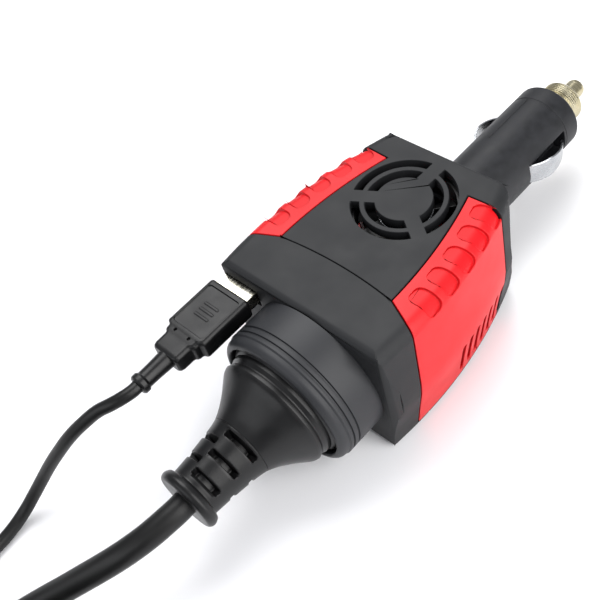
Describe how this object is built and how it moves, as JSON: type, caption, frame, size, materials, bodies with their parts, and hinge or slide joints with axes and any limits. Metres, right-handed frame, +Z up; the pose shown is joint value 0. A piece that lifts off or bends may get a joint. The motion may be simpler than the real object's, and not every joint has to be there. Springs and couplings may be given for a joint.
{
  "type": "power inverter",
  "caption": "Hand-sized vehicle power inverter: waisted case with side grips and fan grille, round mains socket and USB port in front, vehicle plug behind, both leads plugged in.",
  "frame": {"origin": "on the surface the case lies on, under the middle of the inverter's box without its leads", "axes": "+Y towards the tip of the vehicle plug, +Z up through the fan grille, +X to the right seen from the socket side looking along +Y"},
  "size_m": [0.0988, 0.3707, 0.043],
  "materials": {
    "case_black": "moulded black ABS, fine satin texture",
    "grip_red": "red soft-touch ABS, satin",
    "plug_black": "moulded black PVC",
    "cord_black": "extruded black PVC jacket",
    "nickel": "bright nickel plate",
    "spring_steel": "polished spring steel",
    "screw_steel": "zinc-plated steel",
    "brass": "drawn brass",
    "usb_white": "white moulded nylon",
    "circuit_green": "green solder-mask laminate",
    "ferrite": "grey sintered ferrite",
    "winding": "yellow polyester tape over copper wire",
    "heatsink_alu": "extruded aluminium",
    "capacitor_blue": "shrunk PVC sleeve",
    "epoxy_black": "moulded epoxy",
    "fan_black": "black PBT",
    "lead_insulation": "PVC wire insulation",
    "fuse_glass": "clear glass tube",
    "tie_black": "black nylon strap"
  },
  "bodies": {
    "housing": {"top_shell": "case_black", "bottom_shell": "case_black", "front_cap": "case_black", "side_grip_left": "grip_red", "side_grip_right": "grip_red", "case_screws": "screw_steel", "socket_collar": "case_black", "socket_insert": "case_black", "socket_contacts": "brass", "socket_leads": "lead_insulation", "usb_port": "nickel", "usb_tongue": "usb_white", "usb_board": "circuit_green", "main_board": "circuit_green", "transformer_core": "ferrite", "transformer_winding": "winding", "heatsink": "heatsink_alu", "power_transistors": "epoxy_black", "capacitors": "capacitor_blue", "fan_frame": "fan_black", "input_leads": "lead_insulation", "plug_barrel": "case_black", "nose_ring": "nickel", "contact_spring": "spring_steel"},
    "fan": {"fan_rotor": "fan_black"},
    "contact": {"centre_contact": "nickel", "fuse": "fuse_glass"},
    "spring_left": {"earth_spring_left": "spring_steel"},
    "spring_right": {"earth_spring_right": "spring_steel"},
    "mains_lead": {"ac_plug_body": "plug_black", "ac_plug_pins": "nickel", "ac_strain_relief": "plug_black", "mains_cord": "cord_black", "mains_coil": "cord_black", "mains_tie": "tie_black", "appliance_connector": "plug_black"},
    "usb_lead": {"usb_plug_shell": "nickel", "usb_plug_insulator": "usb_white", "usb_plug_grip": "plug_black", "usb_strain_relief": "plug_black", "usb_cord": "cord_black", "usb_coil": "cord_black", "usb_tie": "tie_black", "device_plug": "plug_black"}
  },
  "joints": [
    {"name": "fan_spin", "type": "hinge", "parent": "housing", "child": "fan", "pos_m": [0, -0.012, 0.036], "axis": [0, 0, 1], "continuous": true},
    {"name": "contact_press", "type": "slide", "parent": "housing", "child": "contact", "axis": [0, -1, 0], "range_m": [0, 0.0025], "stiffness_N_per_m": 600, "springref_m": -0.001, "deforming": ["contact_spring"]},
    {"name": "spring_left_flex", "type": "hinge", "parent": "housing", "child": "spring_left", "pos_m": [-0.009, 0.0302, 0.0208], "axis": [0, 0, -1], "range_deg": [0, 8], "stiffness_Nm_per_rad": 0.05, "springref_deg": -2.86},
    {"name": "spring_right_flex", "type": "hinge", "parent": "housing", "child": "spring_right", "pos_m": [0.009, 0.0302, 0.0208], "axis": [0, 0, 1], "range_deg": [0, 8], "stiffness_Nm_per_rad": 0.05, "springref_deg": -2.86},
    {"name": "mains_plug_pull", "type": "slide", "parent": "housing", "child": "mains_lead", "axis": [0, -1, 0], "range_m": [0, 0.02]},
    {"name": "usb_plug_pull", "type": "slide", "parent": "housing", "child": "usb_lead", "axis": [0, -1, 0], "range_m": [0, 0.012]}
  ]
}
